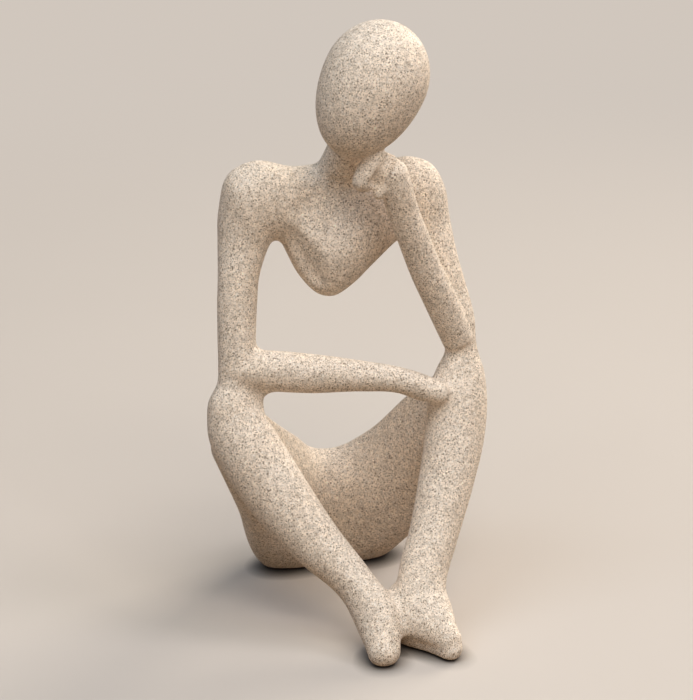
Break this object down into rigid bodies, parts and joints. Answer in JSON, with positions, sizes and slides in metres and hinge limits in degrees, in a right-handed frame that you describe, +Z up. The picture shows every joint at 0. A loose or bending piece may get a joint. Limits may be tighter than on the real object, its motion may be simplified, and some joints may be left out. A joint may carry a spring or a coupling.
{
  "type": "thinker statue",
  "caption": "Seated abstract faceless figure in a thinking pose, sandstone-finish resin, chin on one hand and ankles crossed, a free-standing tabletop ornament",
  "frame": {"origin": "on the ground under the middle of the figure's box, level with the undersides of the felt pads", "axes": "+Z up; the figure faces -Y, so its right arm and leg are on the -X side"},
  "size_m": [0.1252, 0.1338, 0.2639],
  "materials": {
    "sandstone_resin": "matte",
    "dowel_steel": "satin",
    "pad_felt": "matte"
  },
  "bodies": {
    "root": {"head": "sandstone_resin", "torso": "sandstone_resin", "right_arm": "sandstone_resin", "left_arm": "sandstone_resin", "hips": "sandstone_resin", "right_leg": "sandstone_resin", "left_leg": "sandstone_resin", "neck_dowel": "dowel_steel", "chin_pin": "dowel_steel", "right_shoulder_dowel": "dowel_steel", "left_shoulder_dowel": "dowel_steel", "right_elbow_dowel": "dowel_steel", "left_elbow_dowel": "dowel_steel", "hand_pin": "dowel_steel", "right_knee_dowel": "dowel_steel", "left_knee_dowel": "dowel_steel", "ankle_dowel": "dowel_steel", "seat_pad": "pad_felt", "right_foot_pad": "pad_felt", "left_foot_pad": "pad_felt"}
  },
  "joints": []
}
